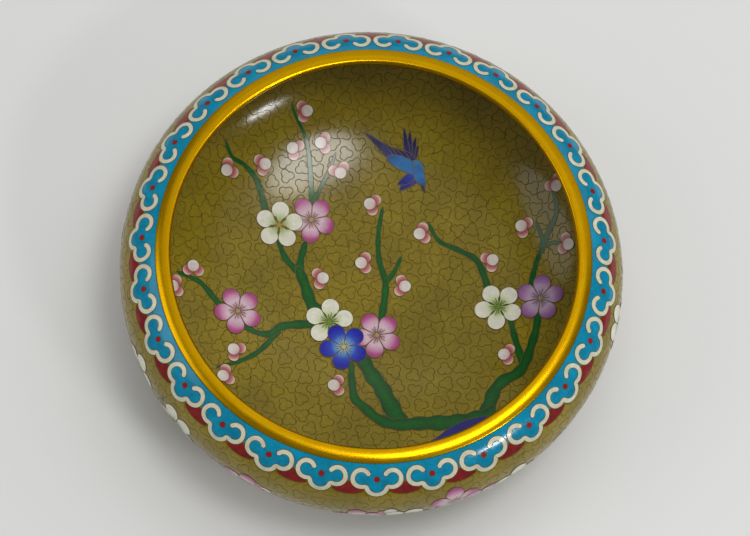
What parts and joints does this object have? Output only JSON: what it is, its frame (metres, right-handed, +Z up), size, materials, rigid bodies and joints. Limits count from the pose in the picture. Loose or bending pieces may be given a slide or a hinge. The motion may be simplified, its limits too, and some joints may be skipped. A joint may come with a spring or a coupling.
{
  "type": "cloisonne bowl",
  "caption": "Low round metal bowl with inturned walls, cloisonne enamel inside and out, a gilt ring round its wide mouth and a gilt foot ring.",
  "frame": {"origin": "centre of the foot ring's resting plane, on the surface that the bowl stands on", "axes": "+Z up along the axis of revolution; -Y towards the viewer of the picture, and +X to the right of the picture inside"},
  "size_m": [0.254, 0.254, 0.0804],
  "materials": {
    "enamel_ground": "gloss",
    "gilding": "satin",
    "cell_wire": "satin",
    "enamel_turquoise": "gloss",
    "enamel_white": "gloss",
    "enamel_red": "gloss",
    "enamel_pink": "gloss",
    "enamel_green": "gloss",
    "enamel_blue": "gloss"
  },
  "bodies": {
    "root": {"bowl_body": "enamel_ground", "mouth_ring": "gilding", "foot_ring": "gilding"}
  },
  "joints": []
}
